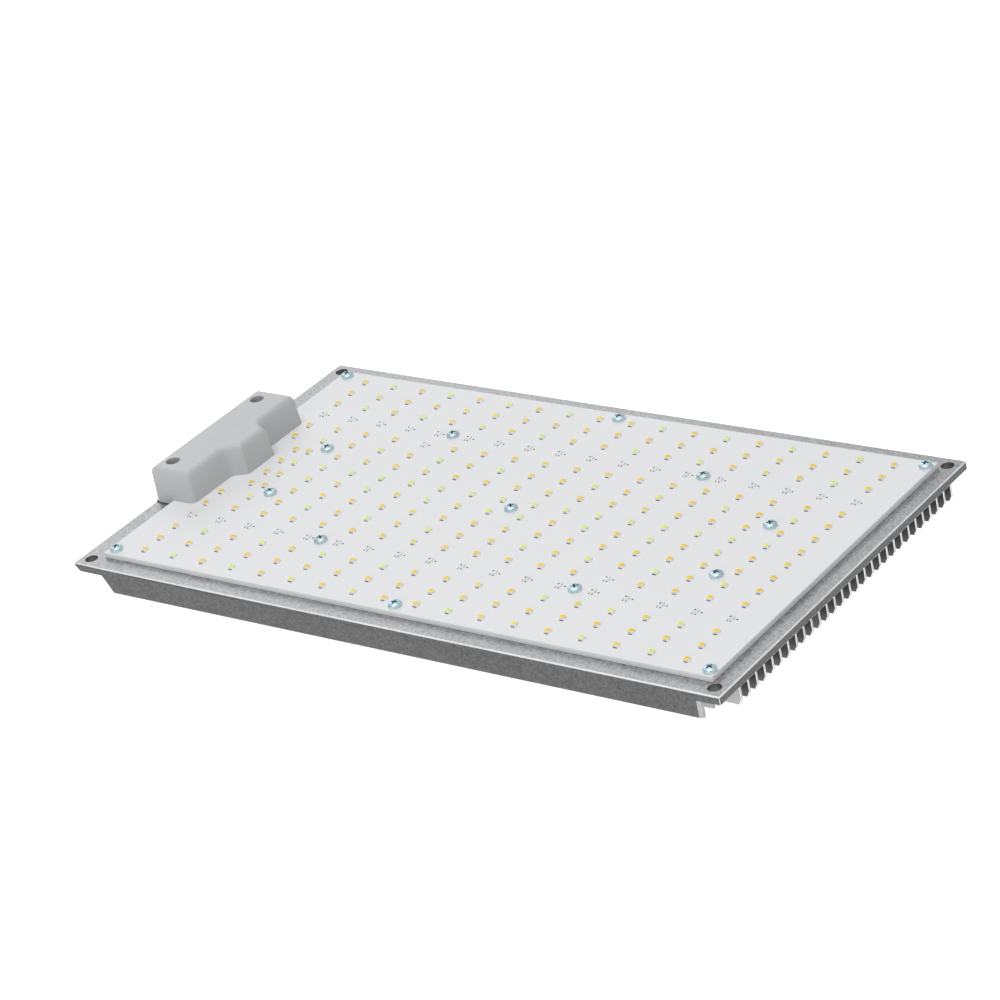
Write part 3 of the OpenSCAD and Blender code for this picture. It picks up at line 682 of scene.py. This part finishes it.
def screws(node, head_r, head_h, shank_r, axis, way=None, look="plated_steel"):
    """One screw for each solid of the node; its head points up (1) or down (-1) the axis, or outwards."""
    bm = bmesh.new()
    for low, high in boxes(node):
        sign = way or math.copysign(1, low[axis])
        facing = Vector((0, 0, 0))
        facing[axis] = sign
        turn = Vector((0, 0, 1)).rotation_difference(facing).to_matrix().to_4x4()
        seat = (low + high) / 2
        seat[axis] = (high if sign > 0 else low)[axis] - sign * head_h * MM
        length = high[axis] - low[axis] - head_h * MM
        mesh = screw_mesh(head_r * MM, head_h * MM, shank_r * MM, length)
        spin = Matrix.Rotation(rng.uniform(0, math.pi / 2), 4, "Z")
        mesh.transform(Matrix.Translation(seat) @ turn @ spin)
        bm.from_mesh(mesh)
        bpy.data.meshes.remove(mesh)
    # The recess faces keep the dark recess colour, painted shade
    return place(from_bmesh(node + "_zinc", bm, [look, "screw_recess_painted_shade"]), node)


# Heads and shanks of M3 and M4 pan-head screws: head radius, head height, shank radius
M3_HEAD_H = 1.9
M3 = (2.75, M3_HEAD_H, 1.45)
M4 = (3.7, 2.5, 1.95)

screws("board_screws", 2.65, M3_HEAD_H, 1.45, 2, 1, "screw_zinc")
screws("cover_screws", *M3, 2, 1)
screws("end_cap_screws", *M3, 0)
screws("bracket_screws", *M4, 2, -1)
screws("driver_screws", *M4, 2, -1)

# --- Wire cover ---

COVER_LOW, COVER_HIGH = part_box("wire_cover")
# The cover's plan, in millimetres: its bump's depth, half widths at foot and nose, and the corner rounds
BUMP_DEPTH = 6.2
BUMP_FOOT = 11.6
BUMP_NOSE = 8.5
FOOT_ROUND = 3.2
NOSE_ROUND = 2.2
CORNER_ROUND = 3.0
LEAST_ROUND = 0.6
# Its section: the top edge's round, the sides' draft and the wall
TOP_ROUND = 2.3
DRAFT = 1.2
WALL = 2.0
POST_R = 4.6
WELL_R = 2.8
WELL_MOUTH_R = 2.95
SCREW_HOLE_R = 1.7


def arc_corner(before, corner, after, radius, steps):
    """Points of a round that replaces a corner between two straight sides."""
    a, b = (before - corner).normalized(), (after - corner).normalized()
    half = math.acos(max(-1, min(1, a.dot(b)))) / 2
    reach = radius / math.tan(half)
    start, end = corner + a * reach, corner + b * reach
    middle = corner + (a + b).normalized() * (radius / math.sin(half))
    u, v = start - middle, end - middle
    sweep = u.angle(v)
    return [middle + (u * math.sin((1 - t) * sweep) + v * math.sin(t * sweep)) / math.sin(sweep)
            for t in (s / steps for s in range(steps + 1))]


def shifted(a, b, amount):
    """The side from a to b, moved left of its direction by amount."""
    way = (b - a).normalized()
    left = Vector((-way.y, way.x)) * amount
    return a + left, b + left


def crossing(p, q):
    (a, b), (c, d) = p, q
    r, s = b - a, d - c
    t = ((c.x - a.x) * s.y - (c.y - a.y) * s.x) / (r.x * s.y - r.y * s.x)
    return a + r * t


def cover_outline(inset, left_inset, steps=7):
    """The cover's outline with a bump over the terminals, moved in by inset (millimetres)."""
    left, nose, end = COVER_LOW.x / MM, COVER_HIGH.x / MM, COVER_HIGH.y / MM
    right = nose - BUMP_DEPTH
    points = [Vector(p) for p in ((left, -end), (right, -end), (right, -BUMP_FOOT), (nose, -BUMP_NOSE),
                                  (nose, BUMP_NOSE), (right, BUMP_FOOT), (right, end), (left, end))]
    radii = [CORNER_ROUND, CORNER_ROUND, FOOT_ROUND, NOSE_ROUND,
             NOSE_ROUND, FOOT_ROUND, CORNER_ROUND, CORNER_ROUND]
    count = len(points)
    sides = [shifted(points[k], points[(k + 1) % count], left_inset if k == count - 1 else inset)
             for k in range(count)]
    corners = [crossing(sides[k - 1], sides[k]) for k in range(count)]
    outline = []
    for k in range(count):
        concave = radii[k] == FOOT_ROUND
        radius = radii[k] + (inset if concave else -min(inset, radii[k] - LEAST_ROUND))
        outline += arc_corner(corners[k - 1], corners[k], corners[(k + 1) % count], radius, steps)
    return [(p.x * MM, p.y * MM) for p in outline]


def cover_shell(inner_top):
    """The open moulding: drafted sides, a round top edge and an even wall."""
    top = COVER_HIGH.z
    height = (top - COVER_LOW.z) / MM
    bm = bmesh.new()
    profile = [(0.0, 0.0, COVER_LOW.z),
               (DRAFT * (height - TOP_ROUND) / height, 0.0, top - TOP_ROUND * MM)]
    for a in (math.radians(d) for d in (15, 30, 45, 60, 75, 90)):
        bite = TOP_ROUND * (1 - math.cos(a))
        profile.append((DRAFT + bite, bite, top - TOP_ROUND * MM * (1 - math.sin(a))))
    outer = [ring(bm, cover_outline(i, l), (0, 0), z) for i, l, z in profile]
    inner = [ring(bm, cover_outline(i + WALL, WALL), (0, 0), z)
             for i, z in ((0.0, COVER_LOW.z), (DRAFT, inner_top))]
    for lower, upper in zip(outer, outer[1:]):
        bridge(bm, lower, upper)
    cap(bm, outer[-1])
    bridge(bm, inner[0], outer[0])
    bridge(bm, inner[1], inner[0])
    cap(bm, inner[1][::-1])
    return from_bmesh("wire_cover_moulding", bm, ["cover_grey"])


def wire_cover():
    """The moulding with a post and a well for each screw, cut to sit over the board's edge."""
    low_z, top = COVER_LOW.z, COVER_HIGH.z
    inner_top = top - WALL * MM
    post_h = inner_top + 0.5 * MM - low_z
    piece = cover_shell(inner_top)
    wells = boxes("cover_screws")
    middles = [(low + high) / 2 for low, high in wells]
    for at in middles:
        post = bmesh.new()
        lathe(post, [(0, 0), (POST_R * MM, 0), (POST_R * MM, post_h), (0, post_h)], 48, (at.x, at.y, low_z))
        boolean(piece, from_bmesh("post", post, ["cover_grey"]), "UNION")
    seat = wells[-1][1].z - M3_HEAD_H * MM
    well = [(0, low_z - MM), (SCREW_HOLE_R * MM, low_z - MM), (SCREW_HOLE_R * MM, seat), (WELL_R * MM, seat),
            (WELL_R * MM, top - 0.2 * MM), (WELL_MOUTH_R * MM, top), (WELL_MOUTH_R * MM, top + MM),
            (0, top + MM)]
    for at in middles:
        cut = bmesh.new()
        lathe(cut, well, 48, (at.x, at.y, 0))
        boolean(piece, from_bmesh("well", cut, ["cover_grey"]))
    boolean(piece, board_cutter())
    smooth(piece.data, 28)
    return place(piece, "wire_cover")


def board_cutter():
    """The room that the board's edge takes under the cover."""
    board_low, board_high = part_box("led_board")
    bm = bmesh.new()
    bmesh.ops.create_cube(bm, size=1)
    for v in bm.verts:
        v.co.x = board_low.x - 0.3 * MM if v.co.x < 0 else board_low.x + 40 * MM
        v.co.y *= 0.3
        v.co.z = COVER_LOW.z - MM if v.co.z < 0 else board_high.z
    return from_bmesh("step", bm, ["cover_grey"])


wire_cover()

# --- Everything else keeps its CAD shape, with softened edges where they show ---

SOFT_EDGES = {
    "driver_case": 0.35, "output_end_cap": 0.5, "mains_end_cap": 0.5, "driver_brackets": 0.25,
    "output_gland": 0.25, "mains_gland": 0.25, "output_gland_nut": 0.2, "mains_gland_nut": 0.2,
    "dimmer_knob": 0.25, "dimmer_nut": 0.2, "terminal_block": 0.15, "transformer_core": 0.3,
}
for name, width in SOFT_EDGES.items():
    softened(name, width)

for name, node in frame["nodes"].items():
    if not node.hide_render:
        node.data.materials.clear()
        node.data.materials.append(mat(SLOT_OF[name]))

# --- Floor ---


def make_floor(reach=9.0):
    bm = bmesh.new()
    bmesh.ops.create_grid(bm, x_segments=4, y_segments=4, size=reach)
    floor = from_bmesh("floor", bm, ["floor"])
    floor.location.z = -0.0002


LOOKS["floor"] = plain("floor", (0.35, 0.35, 0.35), 0.95, spread=(0.995, 1.005), grain=300, depth=0.01,
                       Emission_Color=(1, 1, 1, 1), Emission_Strength=0.95)
make_floor()
